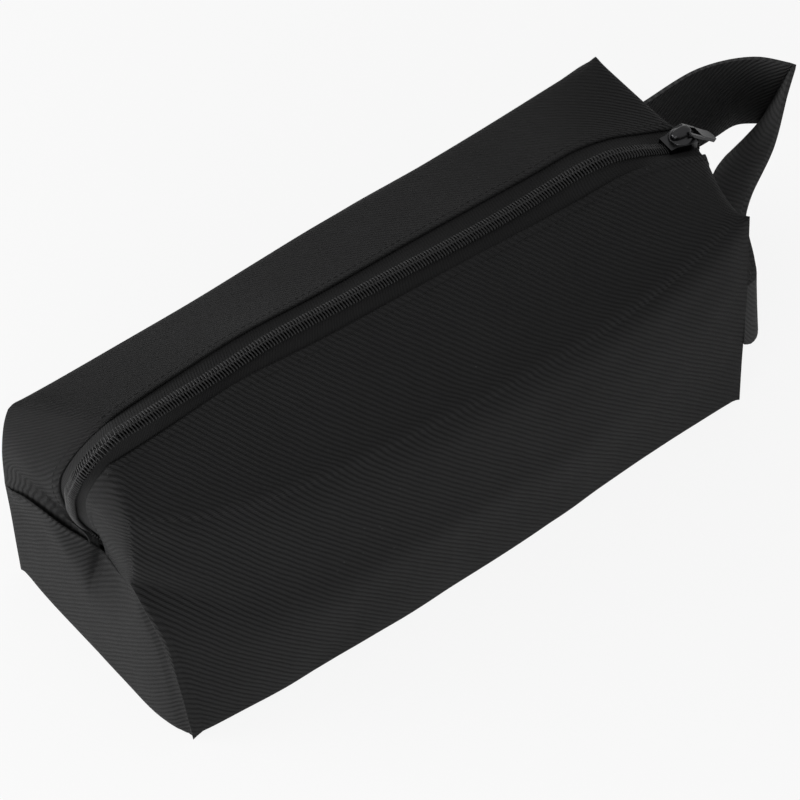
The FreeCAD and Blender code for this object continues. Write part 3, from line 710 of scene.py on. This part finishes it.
def plain_material(name, colour, rough, metallic, grain, depth, wear, specular=0.5):
    """Smooth plastic, thread or metal with fine grain and uneven gloss."""
    material, tree, shader = new_material(name)
    place = tree.nodes.new("ShaderNodeTexCoord").outputs["Object"]
    fine = use_group(tree, "Grain", Place=place, Scale=grain, Wear=wear)
    feed_all(tree, shader, {
        "Base Color": mix_colours(tree, "MULTIPLY", 1.0, (*colour, 1), fine["Shade"]),
        "Roughness": math_node(tree, "ADD", fine["Gloss"], rough),
        "Normal": bump_node(tree, fine["Height"], depth),
        "Metallic": metallic,
        "Specular IOR Level": specular,
    })
    return material


# Cloth shell

def seam_lines():
    """Sampled lines of the cloth by name."""
    shares = dict.fromkeys(("front_foot", "back_foot", "shoulder", "back_edge"), LENGTHWISE)
    for end in ("left", "right"):
        shares[f"{end}_foot"] = DEPTHWISE
        for side in ("front", "back"):
            shares[f"{end}_{side}_low"] = LOW
            shares[f"{end}_{side}_high"] = HIGH
        shares[f"{end}_seam_back"] = 1 - BACKWISE[::-1]
        shares[f"{end}_seam_gap"] = GAPWISE
        shares[f"{end}_seam_front"] = FRONTWISE
    return {name: along(CLOTH_LINES[name], share) for name, share in shares.items()}


def held_seams(s):
    """Seams that keep their place; the fold above the left front one is free."""
    names = [k for k in s if "seam" in k or "_low" in k or "_high" in k]
    return [s[k] for k in names if k != "left_front_high"]


def hem_lines(points, index):
    """Both hems beside the zipper."""
    return [points[index["top_front"][0]], points[index["top_back"][0]]]


def zip_line(parts):
    """One line along the zipper, in step with the columns of the top cloth."""
    return joined(along(parts["left"], HIGH), along(parts["top"], LENGTHWISE),
                  along(parts["right"], 1 - HIGH[::-1]))


def top_strip(hem, outer, end_left, end_right, shares, bulge, edge, way):
    """Cloth between one hem and the outer edge of the top, with its place on the cut.

    A bulge keeps the swell of the right end near the hem. Edge is the place across the cut at the outer edge.
    """
    u = lengths((hem + outer) / 2)
    grid = coons(hem, outer, end_left, end_right, u / u[-1], shares, reach=0.06)
    swell_power, rim = 12, 0.02
    side = np.zeros(len(hem))
    side[TOP_LEFT:TOP_RIGHT + 1] = LENGTHWISE ** swell_power
    side[TOP_RIGHT:] = 1
    t = shares[:, None]
    inner = step(t, 0, rim) * step(1 - t, 0, rim)
    grid[:, :, 0] += (hem - outer)[None, :, 0] * ((1 - t) ** bulge - (1 - t)) * side[None] * inner
    place = outer[:, 0].copy()
    place[:TOP_LEFT] = place[TOP_LEFT] - u[TOP_LEFT] + u[:TOP_LEFT]
    place[TOP_RIGHT + 1:] = place[TOP_RIGHT] - u[TOP_RIGHT] + u[TOP_RIGHT + 1:]
    width = np.linalg.norm(hem - outer, axis=1)
    inside = edge + way * width
    inside[:TOP_LEFT], inside[TOP_RIGHT + 1:] = inside[TOP_LEFT], inside[TOP_RIGHT]
    return grid, np.repeat(place[None], len(shares), 0), inside[None] - way * width[None] * t


def build_shell():
    """Points, faces and weave of the whole shell, with the point numbers of its panels and the seam lines."""
    s = seam_lines()
    wall = {}
    for corner in ("left_front", "left_back", "right_front", "right_back"):
        wall[corner] = joined(s[corner + "_low"], s[corner + "_high"])
    sewn = Sewn()
    index = {}
    form = along(CLOTH_LINES["left_front_form"], WALL)
    form_reach = 0.09
    front = coons(s["front_foot"], s["shoulder"], form, wall["right_front"], LENGTHWISE, WALL)
    front += (wall["left_front"] - form)[:, None] * gauss(LENGTHWISE, 0, form_reach)[None, :, None]
    index["front"] = sewn.add(front, front[:, :, 0], front[:, :, 2])
    back = coons(s["back_foot"], s["back_edge"], wall["left_back"], wall["right_back"], LENGTHWISE, WALL)
    index["back"] = sewn.add(back, back[:, :, 0], CUT_LENGTH - back[:, :, 2])
    base = coons(s["front_foot"], s["back_foot"], s["left_foot"][::-1], s["right_foot"][::-1], LENGTHWISE,
                 1 - DEPTHWISE[::-1])
    index["base"] = sewn.add(base, base[:, :, 0], -base[:, :, 1])
    for end in ("left", "right"):
        seam = joined(s[end + "_seam_back"], s[end + "_seam_gap"], s[end + "_seam_front"])
        low = coons(s[end + "_foot"], seam, s[end + "_back_low"], s[end + "_front_low"], DEPTHWISE, LOW)
        index[end] = sewn.add(low, low[:, :, 1], low[:, :, 2])
    for side, ridge, shares, bulge, way in (("front", "shoulder", FRONTWISE, 2.2, 1),
                                            ("back", "back_edge", BACKWISE, 1.0, -1)):
        outer = joined(s[f"left_{side}_high"], s[ridge], s[f"right_{side}_high"][::-1])
        edge = outer[:, 2] if way > 0 else CUT_LENGTH - outer[:, 2]
        ends = [s[f"{end}_seam_{side}"][::way] for end in ("left", "right")]
        strip = top_strip(zip_line(HEMS[side]), outer, *ends, shares, bulge, edge, way)
        index["top_" + side] = sewn.add(*strip)
    return np.array(sewn.points), np.array(sewn.faces), sewn.weave, index, s


def round_folds(points, faces, index, s):
    """Rounds the folds of the shell, each by its own reach, while seams and hems hold their place."""
    held = np.maximum(near_to(points, held_seams(s), reach=1.6),
                      near_to(points, hem_lines(points, index), reach=2.5))
    corners = [s[k][-1:] for k in ("left_back_high", "right_back_high", "right_front_high")]
    corner_give = 0.35
    free = np.maximum(1 - held, corner_give * (1 - step(nearest(points, corners), 0.5, 4)))

    def eased(weight, rounds):
        """Points evened out by a weight, as far as they are free."""
        return relax(points, faces, weight * free, rounds)

    shoulder = 0.95 * near_to(points, [s["shoulder"]], reach=15) * step(points[:, 0], -136, -112)
    points = eased(0.5 * shoulder, rounds=70)
    left_crease = points[index["top_back"][:, TOP_LEFT]]
    right_creases = [points[index[k][:, TOP_RIGHT]] for k in ("top_back", "top_front")]
    points = eased(0.5 * near_to(points, [s["back_edge"]] + right_creases, reach=4.5), rounds=12)
    front_corner = [s["left_front_high"], points[index["top_front"][:, TOP_LEFT]]]
    points = eased(0.5 * near_to(points, front_corner, reach=5), rounds=16)
    points = eased(0.5 * near_to(points, [left_crease], reach=2.5), rounds=4)
    feet = [s[k] for k in ("front_foot", "back_foot", "left_foot", "right_foot")]
    points = eased(0.45 * near_to(points, feet, reach=4), rounds=8)
    points[:, 2] = np.maximum(points[:, 2], 0)
    return points


def displace(points, normals, index, s):
    """Hollows, swells and creases of the worn cloth."""
    x, y, z = points.T
    facing_front = step(-normals[:, 1], 0.3, 0.8)
    facing_up = step(normals[:, 2], 0.3, 0.8)
    facing_down = step(-normals[:, 2], 0.3, 0.7)
    above_ridge = z - (74 - 0.05 * (x + 20))
    swell = 1.6 * gauss(above_ridge, 0, 15) * between(x, (-130, -60), (100, 132))
    hollow = 1.2 * gauss(above_ridge, -34, 14) * between(x, (-110, -30), (60, 120))
    front_dip = 2.2 * step(-y, 8, 20) * gauss(x, 82, 50) * gauss(y, -30, 14)
    back_dip = 1.4 * step(y, 16, 24) * gauss(x, -30, 90) * gauss(y, 32, 11)
    move = facing_front * (swell - hollow) - facing_up * (front_dip + back_dip)
    for height, scale, shift in ((0.9, 55.0, 0.0), (0.4, 22.0, 7.3)):
        start = Vector((shift, 1.7, 3.1))
        move += height * np.array([noise.noise(Vector(p) / scale + start) for p in points])
    hold = step(nearest(points, held_seams(s)), 1.0, 9.0)
    hold *= step(nearest(points, hem_lines(points, index)), 2.0, 12.0) * (1 - facing_down)
    points = points + normals * (move * hold)[:, None]
    points[:, 2] = np.maximum(points[:, 2], 0)
    return points


def tuck_left_end(points, index):
    """Swells the lower left end out below its seam, so that the seam lies in a crease that opens upward."""
    grid = index["left"]
    p = points[grid]
    below = np.stack([lengths(p[::-1, j])[::-1] for j in range(grid.shape[1])], 1)
    end_face = -147
    inset = np.maximum(p[-1, :, 0] - end_face, 0)[None]
    y = p[:, :, 1]
    p[:, :, 0] += inset * (gauss(below, 0, 12) - LOW[:, None])
    open_at = between(y, (-22, -14), (44, 52)) * (0.3 + 0.7 * step(y, 8, 22))
    p[:, :, 0] -= 2.0 * open_at * between(below, (0, 2.2), (3, 22))
    p[:, :, 2] += open_at * (1.7 * gauss(below, 2.4, 1.2) - 5.5 * (1 - step(below, 0, 2.0)))
    points[grid] = p


def raise_left_seam(points, index):
    """Rolled ridge on the front side of the left boxing seam and the groove beside it."""
    fade = (60, 72)
    rolls = (("front", 0, (-0.8, -0.5, 0.0), 1.9), ("left", -1, (0.9, 0.2, 0.0), 1.6))
    for name, column, way, height in rolls:
        grid = index[name]
        p = points[grid]
        gap = np.linalg.norm(p - p[:, [column]], axis=2)
        amount = height * gauss(gap, 2.2, 1.5) * (1 - step(p[:, :, 2], *fade)) * step(gap, 0, 0.6)
        points[grid] = p + amount[:, :, None] * np.array(way)
    seam = index["front"][:, 0]
    points[seam, :2] += 0.8 * (1 - step(points[seam, 2], *fade))[:, None]


def hem_frames(points, strip):
    """Outward and upward directions along a hem."""
    hem = points[strip[0]]
    run = unit(np.gradient(hem, axis=0))
    away = square_to(points[strip[3]] - hem, run)
    up = outward(np.cross(run, away), hem)
    for _ in range(HEM_SMOOTHING):
        for way in (away, up):
            way[1:-1] = (way[:-2] + 2 * way[1:-1] + way[2:]) / 4
            way[:] = unit(way)
    return away, up


def fold_hem(points, faces, weave, strip, ways, v):
    """Adds the turned-under edge along one hem."""
    hem = points[strip[0]]
    away, up = ways
    turned = [hem + away * out - up * down for out, down in HEM_TURN]
    turned += [points[strip[row]] - up * down for row, down in HEM_UNDER]
    rows = [strip[0]]
    for row in turned:
        rows.append(np.arange(len(points), len(points) + len(hem)))
        points = np.vstack([points, row])
    extra = []
    place = lengths(hem) * MM
    for k, (a, b) in enumerate(zip(rows, rows[1:])):
        near, far = (v - k) * MM, (v - k - 1) * MM
        for i, j in zip(range(len(hem) - 1), range(1, len(hem))):
            extra.append([a[i], b[i], b[j], a[j]])
            weave.append([(place[i], near), (place[i], far), (place[j], far), (place[j], near)])
    return points, np.vstack([faces, extra]), weave


class TOOLBAG_OT_cloth(bpy.types.Operator):
    """Twill shell of the bag: base, front, back and ends in one piece, slumped and creased"""
    bl_idname = "toolbag.cloth"
    bl_label = "Cloth shell"

    def execute(self, context):
        sizes, finish = context.scene.toolbag_sizes, context.scene.toolbag_finishes
        points, faces, weave, index, s = build_shell()
        points = round_folds(points, faces, index, s)
        normals = vertex_normals(points, faces)
        middle = points.mean(axis=0)
        if np.sum((points - middle) * normals) < 0:
            normals = -normals
        points = displace(points, normals, index, s)
        ways = {side: hem_frames(points, index[side]) for side in HEM_PLACES}
        tuck_left_end(points, index)
        raise_left_seam(points, index)
        for side, (_, up) in ways.items():
            for row, lift in HEM_LIFTS:
                points[index[side][row]] += up * lift
        SHELL.update(points=points.copy(), index=index, ways=ways)
        for side, place in HEM_PLACES.items():
            points, faces, weave = fold_hem(points, faces, weave, index[side], ways[side], place)
        piece = make_mesh("cloth_shell", points, faces, weave)
        face_out(piece)
        thicken(piece, sizes.cloth_thickness, offset=-1.0)
        for vertex in piece.data.vertices:
            vertex.co.z = max(vertex.co.z, 0.0)
        cloth = woven_material("coated twill", finish.cloth, rib=sizes.rib_spacing, thread=0.0006, slant=1.0,
                               depth=0.0009, rough=0.74, dust=0.1)
        finish_piece(piece, cloth, "bag", CLOTH_NODES)
        return {"FINISHED"}


class TOOLBAG_OT_bindings(bpy.types.Operator):
    """Folded tapes round the raw seam edges inside the bag"""
    bl_idname = "toolbag.bindings"
    bl_label = "Seam bindings"

    def execute(self, context):
        finish = context.scene.toolbag_finishes
        points, index = SHELL["points"], SHELL["index"]
        tape = woven_material("seam binding", finish.binding, rib=0.0011, thread=0.0005, slant=0.0,
                              depth=0.00015, rough=0.8, dust=0.05)
        seams = {}
        up_corner, across_end = slice(3, -6), slice(4, -5)
        for end, column, inward in (("left", 0, 1), ("right", -1, -1)):
            for side, toward in (("front", 1), ("back", -1)):
                edge = points[index[side][up_corner, column]]
                seams[f"{end}_{side}_binding"] = (edge, (inward * 0.75, toward * 0.66, 0))
            seams[f"{end}_end_binding"] = (points[index[end][-1, across_end]], (inward, 0, -0.1))
        for name, (edge, way) in seams.items():
            rows = [edge + np.array(way) * depth for depth in BINDING_DEPTHS]
            piece = strip_mesh(name + "_tape", rows, BINDING_THICKNESS)
            finish_piece(piece, tape, "bag", [name])
        return {"FINISHED"}


def stitch_row(line, up, length, pitch):
    """Points and faces of a row of stitches that dip into the cloth at both ends."""
    run = lengths(line)
    turns = np.arange(WIRE_SIDES) * FULL_TURN / WIRE_SIDES
    points, faces = [], []
    for n in range(int(run[-1] / pitch)):
        at = (n + 0.5) * pitch
        centre = sample(line, run, at)
        ahead = unit(sample(line, run, at + length / 2) - centre)
        top = square_to(sample(up, run, at), ahead)
        side = np.cross(ahead, top)
        faces += ring_faces(len(STITCH_RINGS), WIRE_SIDES, len(points))
        for share, size, lift in STITCH_RINGS:
            middle = centre + ahead * share * length + top * lift * STITCH_RADIUS
            for turn in turns:
                points.append(middle + STITCH_RADIUS * size * (math.cos(turn) * side + math.sin(turn) * top))
    return points, faces


class TOOLBAG_OT_stitches(bpy.types.Operator):
    """Topstitching along both hems of the zipper"""
    bl_idname = "toolbag.stitches"
    bl_label = "Hem stitches"

    def execute(self, context):
        sizes, finish = context.scene.toolbag_sizes, context.scene.toolbag_finishes
        thread = plain_material("black thread", finish.thread, rough=0.7, metallic=0.0, grain=3000,
                                depth=0.00003, wear=0.3, specular=0.15)
        widest = 0.45
        for side in ("front", "back"):
            rows = SHELL["points"][SHELL["index"]["top_" + side]]
            up = SHELL["ways"]["top_" + side][1]
            line = []
            for column in rows.transpose(1, 0, 2):
                run = lengths(column)
                line.append(sample(column, run, min(sizes.stitch_inset / MM, widest * run[-1])))
            made = stitch_row(np.array(line)[STITCHED], up[STITCHED], sizes.stitch_length / MM,
                              sizes.stitch_pitch / MM)
            piece = make_mesh(f"{side}_hem_stitches", *made)
            finish_piece(piece, thread, "bag")
        return {"FINISHED"}


# Zipper

def tape_rows(name, side):
    """Rows of one tape half from the chain out to its edge under the hem, and the line of the chain."""
    hem = SHELL["points"][SHELL["index"]["top_" + name][0]]
    away, up = SHELL["ways"]["top_" + name]
    chain = zip_line(CHAIN)
    near = chain + np.array([0, side * TAPE_START, 0])
    under = hem - up * TAPE_DEPTH
    rows = []
    for share in TAPE_SHARES:
        rows.append(near * (1 - share) + under * share - up * (TAPE_DIP * math.sin(math.pi * share)))
    for out, down in TAPE_EDGE:
        rows.append(under + away * out - up * down)
    return rows, chain


def coil_line(side, pitch):
    """Line of the coil's wire on one side of the chain, its place lengthwise and the swell of the wire."""
    line = joined(*(smooth_line(CHAIN[part]) for part in ("left", "top", "right")))
    run = lengths(line)
    loops = int((run[-1] - pitch) / pitch)
    phase = np.arange(loops * COIL_STEPS) / COIL_STEPS
    # Half a loop between the two sides lets them mesh
    start = 0.25 if side < 0 else 0.75
    at = (phase + start) * pitch
    centre = sample(line, run, at)
    ahead = unit(sample(np.gradient(line, axis=0), run, at))
    across = square_to(np.tile([0.0, 1.0, 0.0], (len(at), 1)), ahead)
    up = outward(np.cross(ahead, across), centre)
    turn = FULL_TURN * phase
    out = 1.35 - 1.7 * np.cos(turn)
    lift = 1.1 + 0.75 * np.sin(turn) + 0.3 * np.cos(turn) + 0.1 * np.cos(2 * turn)
    lean = 0.2 * np.sin(turn)
    wire = centre + across * (side * out)[:, None] + up * lift[:, None] + ahead * lean[:, None]
    return wire, centre[:, 0], 1 + 0.25 * np.maximum(np.cos(turn), 0)


class TOOLBAG_OT_zipper(bpy.types.Operator):
    """Woven tapes and meshing coils of the zipper, which draw apart as the slider opens it"""
    bl_idname = "toolbag.zipper"
    bl_label = "Zipper chain"

    def execute(self, context):
        sizes, finish = context.scene.toolbag_sizes, context.scene.toolbag_finishes
        weave = woven_material("zipper tape", finish.tape, rib=0.0009, thread=0.00045, slant=0.0,
                               depth=0.00016, rough=0.78, dust=0.05)
        nylon = plain_material("nylon coil", finish.coil, rough=0.5, metallic=0.0, grain=1800, depth=0.00002,
                               wear=0.35, specular=0.25)
        for side, name in ((-1, "front"), (1, "back")):
            rows, chain = tape_rows(name, side)
            run = lengths(chain)
            wire, place, swell = coil_line(side, sizes.coil_pitch / MM)
            radii = sizes.coil_wire / MM * swell
            split = int(np.argmax(chain[:, 0] > CHAIN_OPENS_AT))
            cut = int(np.argmax(place > CHAIN_OPENS_AT))
            for part, tape, wires in (("end", slice(0, split + 1), slice(0, cut + 1)),
                                      ("run", slice(split, None), slice(cut, None))):
                piece = strip_mesh(f"{name}_tape_{part}", [r[tape] for r in rows], TAPE_THICKNESS, run[tape])
                finish_piece(piece, weave, "bag", [f"zipper_tape_{name}"])
                coil = make_mesh(f"{name}_coil_{part}", *tube(wire[wires], radii[wires], WIRE_SIDES))
                finish_piece(coil, nylon, "bag", [f"zipper_coil_{name}"])
                if part == "run":
                    for moving in (piece, coil):
                        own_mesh(moving)
        return {"FINISHED"}


def slider_place():
    """Front of the slider on the chain and its forward, sideways and upward directions."""
    joint = next(j for j in frame["joints"] if j["name"] == "slider_travel")
    ahead = np.array(joint["axis"], float)
    aside = unit(np.cross((0, 0, 1), ahead))
    return np.array(CHAIN["right"][0], float), ahead, aside, np.cross(ahead, aside)


def domed_plate(name, stations, low, crown):
    """Closed cover over the slider from its stations, from a low to a crown height; its top is an arch."""
    origin, ahead, aside, up = slider_place()
    arch_points, thinning = 25, 4
    turns = np.linspace(0, math.pi, arch_points)
    line = smooth_line(stations)[::thinning]
    points = []
    for u, half, rise in line:
        for turn in turns:
            c, w = math.cos(turn), math.sin(turn)
            v = half * math.copysign(abs(c) ** PLATE_ARCH, c)
            height = low + (crown - low) * rise * w ** PLATE_ARCH
            points.append(origin + ahead * u + aside * v + up * height)
    piece = make_mesh(name, points, ring_faces(len(line), len(turns)))
    face_out(piece)
    return piece


class TOOLBAG_OT_slider(bpy.types.Operator):
    """Plated slider with its domed plate and crown, spring pawl and pull"""
    bl_idname = "toolbag.slider"
    bl_label = "Slider and pull"

    def execute(self, context):
        finish = context.scene.toolbag_finishes
        plated = plain_material("gunmetal plate", finish.slider, rough=0.3, metallic=1.0, grain=900,
                                depth=0.00001, wear=0.35)
        spring = plain_material("spring steel", finish.spring, rough=0.3, metallic=1.0, grain=1500,
                                depth=0.00001, wear=0.2)
        for name, material, edge in (("slider_body", plated, 0.0003), ("pull_tab", plated, 0.0003),
                                     ("lock_pawl", spring, 0.0001)):
            node = frame["nodes"][name]
            node.data.materials.clear()
            node.data.materials.append(material)
            bevel = node.modifiers.new("Edge", "BEVEL")
            bevel.width = edge
            bevel.segments = 3
            bevel.limit_method = "ANGLE"
        plate = domed_plate("slider_plate", PLATE_STATIONS, low=2.4, crown=5.2)
        finish_piece(plate, plated, "slider")
        crown = domed_plate("slider_crown", CROWN_STATIONS, low=3.6, crown=8.3)
        finish_piece(crown, plated, "slider", ["slider_cap"])
        return {"FINISHED"}


# Handle

class TOOLBAG_OT_handle(bpy.types.Operator):
    """Folded strap that leaves both right seams and loops round the end"""
    bl_idname = "toolbag.handle"
    bl_label = "Handle loop"

    def execute(self, context):
        sizes, finish = context.scene.toolbag_sizes, context.scene.toolbag_finishes
        shares = [np.linspace(0, 1, count) for count in STRAP_COLUMNS]
        low, top = (joined(*map(along, edge, shares)) for edge in (STRAP_LOW, STRAP_TOP))
        rows = [low * (1 - t) + top * t for t in STRAP_ROWS]
        piece = strip_mesh("handle_strap", rows, sizes.strap_thickness)
        strap = woven_material("strap twill", finish.strap, rib=sizes.rib_spacing, thread=0.0006, slant=1.0,
                               depth=0.0005, rough=0.76, dust=0.08)
        finish_piece(piece, strap, None, ["handle_loop", "handle_root_front", "handle_root_back"])
        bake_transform(piece)
        return {"FINISHED"}


# Stage

def placed(name, data, place, way):
    """Lamp or camera at a place, looking along a way."""
    holder = bpy.data.objects.new(name, data)
    holder.location = place
    holder.rotation_euler = Vector(way).to_track_quat("-Z", "Y").to_euler()
    bpy.context.collection.objects.link(holder)
    return holder


def seen_as(tree, output, lit, seen, share):
    """Shows a share of the seen shader to the camera, mirrors and glass; light bounces off the lit one."""
    path = tree.nodes.new("ShaderNodeLightPath")
    rays = [path.outputs[k] for k in ("Is Camera Ray", "Is Glossy Ray", "Is Transmission Ray")]
    direct = math_node(tree, "MAXIMUM", math_node(tree, "MAXIMUM", rays[0], rays[1]), rays[2])
    mix = tree.nodes.new("ShaderNodeMixShader")
    sources = (math_node(tree, "MULTIPLY", direct, share), lit.outputs[0], seen.outputs[0])
    for socket, source in zip(mix.inputs, sources):
        tree.links.new(source, socket)
    tree.links.new(mix.outputs[0], output.inputs["Surface"])


class TOOLBAG_OT_stage(bpy.types.Operator):
    """Pale floor, soft lamps, bright backdrop and the camera"""
    bl_idname = "toolbag.stage"
    bl_label = "Stage"

    def execute(self, context):
        scene = context.scene
        scene.view_settings.view_transform = "Standard"
        bpy.ops.mesh.primitive_plane_add(size=6, location=(0, 0, FLOOR_HEIGHT))
        floor = context.active_object
        floor.name = "studio_floor"
        material, tree, shader = new_material("pale floor")
        feed_all(tree, shader, {"Base Color": (*scene.toolbag_finishes.floor, 1), "Roughness": 0.9,
                                "Specular IOR Level": 0.1})
        paper = tree.nodes.new("ShaderNodeEmission")
        paper.inputs["Strength"].default_value = 1.0
        output = next(n for n in tree.nodes if n.type == "OUTPUT_MATERIAL")
        seen_as(tree, output, shader, paper, FLOOR_WHITE)
        floor.data.materials.append(material)
        scene.world = bpy.data.worlds.new("studio")
        scene.world.use_nodes = True
        tree = scene.world.node_tree
        tree.nodes.clear()
        backdrops = [tree.nodes.new("ShaderNodeBackground") for _ in range(2)]
        for node, strength in zip(backdrops, (SKY_STRENGTH, 1.0)):
            feed_all(tree, node, {"Color": (1, 1, 1, 1), "Strength": strength})
        seen_as(tree, tree.nodes.new("ShaderNodeOutputWorld"), *backdrops, 1.0)
        for name, place, aim, size, power in LAMPS:
            lamp = bpy.data.lights.new(name, "AREA")
            lamp.shape = "RECTANGLE"
            lamp.size, lamp.size_y = size
            lamp.energy = power
            placed(name, lamp, place, Vector(aim) - Vector(place))
        camera = bpy.data.cameras.new("photo view")
        camera.lens = CAMERA_LENS
        camera.sensor_width = CAMERA_SENSOR
        scene.camera = placed("photo view", camera, CAMERA_PLACE, CAMERA_WAY)
        return {"FINISHED"}


class TOOLBAG_PT_panel(bpy.types.Panel):
    """Pieces of the tool bag"""
    bl_idname = "TOOLBAG_PT_panel"
    bl_label = "Tool Bag"
    bl_space_type = "VIEW_3D"
    bl_region_type = "UI"
    bl_category = "Tool Bag"

    def draw(self, context):
        for group in (context.scene.toolbag_sizes, context.scene.toolbag_finishes):
            column = self.layout.column(align=True)
            for key in group.__annotations__:
                column.prop(group, key)
        for operator in OPERATORS:
            self.layout.operator(operator.bl_idname)


OPERATORS = [TOOLBAG_OT_stage, TOOLBAG_OT_cloth, TOOLBAG_OT_bindings, TOOLBAG_OT_stitches, TOOLBAG_OT_zipper,
             TOOLBAG_OT_slider, TOOLBAG_OT_handle]
CLASSES = [ToolBagSizes, ToolBagFinishes] + OPERATORS + [TOOLBAG_PT_panel]


def register():
    """Adds the classes and their settings."""
    for cls in CLASSES:
        bpy.utils.register_class(cls)
    bpy.types.Scene.toolbag_sizes = PointerProperty(type=ToolBagSizes)
    bpy.types.Scene.toolbag_finishes = PointerProperty(type=ToolBagFinishes)


def unregister():
    """Takes the classes and their settings away."""
    del bpy.types.Scene.toolbag_finishes
    del bpy.types.Scene.toolbag_sizes
    for cls in reversed(CLASSES):
        bpy.utils.unregister_class(cls)


def main():
    """Builds the bag."""
    register()
    for operator in OPERATORS:
        getattr(bpy.ops.toolbag, operator.bl_idname.split(".")[1])()


if __name__ == "__main__":
    main()
